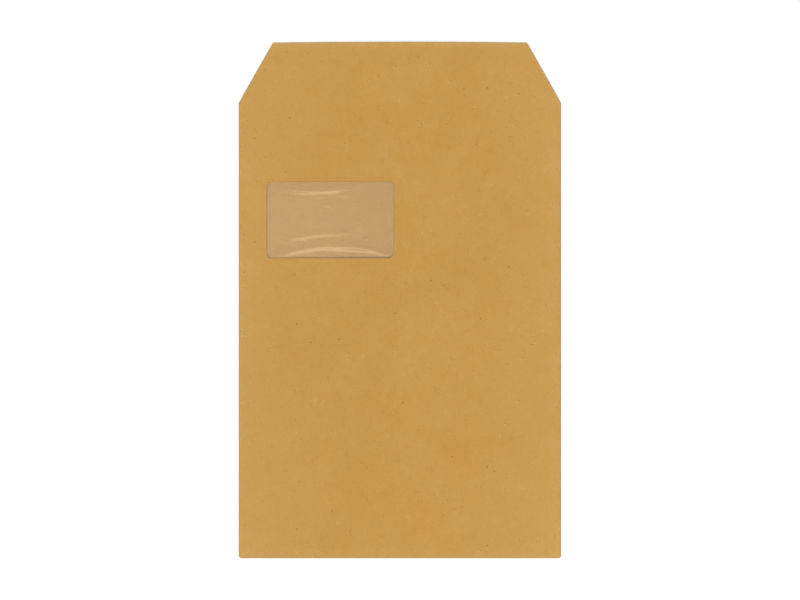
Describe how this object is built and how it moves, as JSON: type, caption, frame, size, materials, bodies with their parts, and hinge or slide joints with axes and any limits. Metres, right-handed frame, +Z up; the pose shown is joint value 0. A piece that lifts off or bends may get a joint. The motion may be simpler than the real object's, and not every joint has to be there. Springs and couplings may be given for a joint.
{
  "type": "window envelope",
  "caption": "Large kraft paper pocket envelope with a clear address window, lapped back panels, a folded bottom flap and an open gummed seal flap.",
  "frame": {"origin": "under the middle of the whole outline, seal flap included, on the surface that the envelope lies on", "axes": "+Z up out of the address side, +Y towards the seal flap, +X to the right of somebody who reads the window"},
  "size_m": [0.229, 0.366, 0.0074],
  "materials": {
    "kraft_paper": "matte",
    "clear_film": "gloss",
    "adhesive": "satin",
    "gum": "satin"
  },
  "bodies": {
    "root": {"envelope_paper": "kraft_paper", "window_film": "clear_film", "window_glue": "adhesive", "seam_glue": "adhesive", "bottom_flap_glue": "adhesive", "flap_gum": "gum"}
  },
  "joints": []
}
